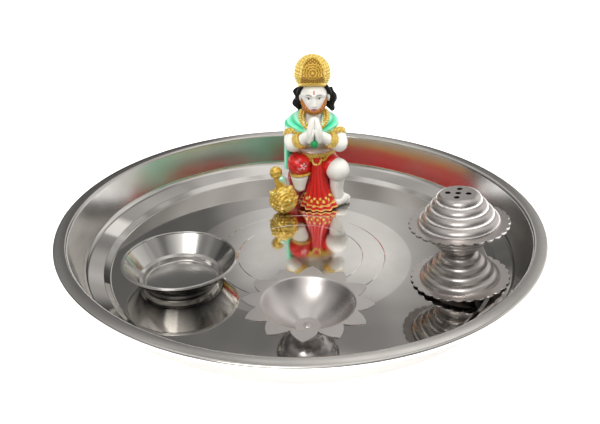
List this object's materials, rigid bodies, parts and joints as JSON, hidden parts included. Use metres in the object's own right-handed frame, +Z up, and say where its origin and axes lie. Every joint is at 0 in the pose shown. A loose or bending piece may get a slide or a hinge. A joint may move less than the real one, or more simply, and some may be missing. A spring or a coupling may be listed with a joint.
{
  "type": "puja thali",
  "caption": "Round steel tray with a ledge and flat lip, holding a flared bowl, a petalled oil lamp, a ribbed incense stand and a painted kneeling figure.",
  "frame": {"origin": "middle of the tray's underside, on the table", "axes": "+Z up, +X to the right and +Y to the back of the tray as it is seen with the figure at the back"},
  "size_m": [0.254, 0.254, 0.094],
  "materials": {
    "steel": "polished",
    "skin": "glossy paint",
    "gold": "metallic paint",
    "hair": "satin paint",
    "beard": "satin paint",
    "green_cloth": "pearl paint",
    "red_cloth": "glossy paint"
  },
  "bodies": {
    "thali": {"thali_plate": "steel"},
    "katori": {"katori_bowl": "steel"},
    "diya": {"diya_base": "steel", "diya_bowl": "steel", "diya_rivet": "steel"},
    "incense_stand": {"incense_base": "steel", "incense_cup": "steel", "incense_rivet": "steel"},
    "incense_lid": {"incense_cap": "steel"},
    "figure": {"figure_torso": "skin", "figure_head": "skin", "crown": "gold", "hair": "hair", "beard": "beard", "necklace": "gold", "shawl": "green_cloth", "arm_right": "skin", "arm_left": "skin", "hands": "skin", "bracelets": "gold", "armlets": "gold", "sash_knot": "green_cloth", "belt": "gold", "dhoti": "red_cloth", "thigh_cuff": "gold", "front_cloth": "red_cloth", "leg_right": "skin", "leg_left": "skin", "gada_head": "gold", "gada_shaft": "gold"}
  },
  "joints": [
    {"name": "katori_lift", "type": "slide", "parent": "thali", "child": "katori", "axis": [0, 0, 1], "range_m": [0, 0.06]},
    {"name": "diya_lift", "type": "slide", "parent": "thali", "child": "diya", "axis": [0, 0, 1], "range_m": [0, 0.06]},
    {"name": "incense_stand_lift", "type": "slide", "parent": "thali", "child": "incense_stand", "axis": [0, 0, 1], "range_m": [0, 0.06]},
    {"name": "incense_cap_lift", "type": "slide", "parent": "incense_stand", "child": "incense_lid", "axis": [-0.0939, 0.0325, 0.995], "range_m": [0, 0.04]},
    {"name": "figure_lift", "type": "slide", "parent": "thali", "child": "figure", "axis": [0, 0, 1], "range_m": [0, 0.06]}
  ]
}
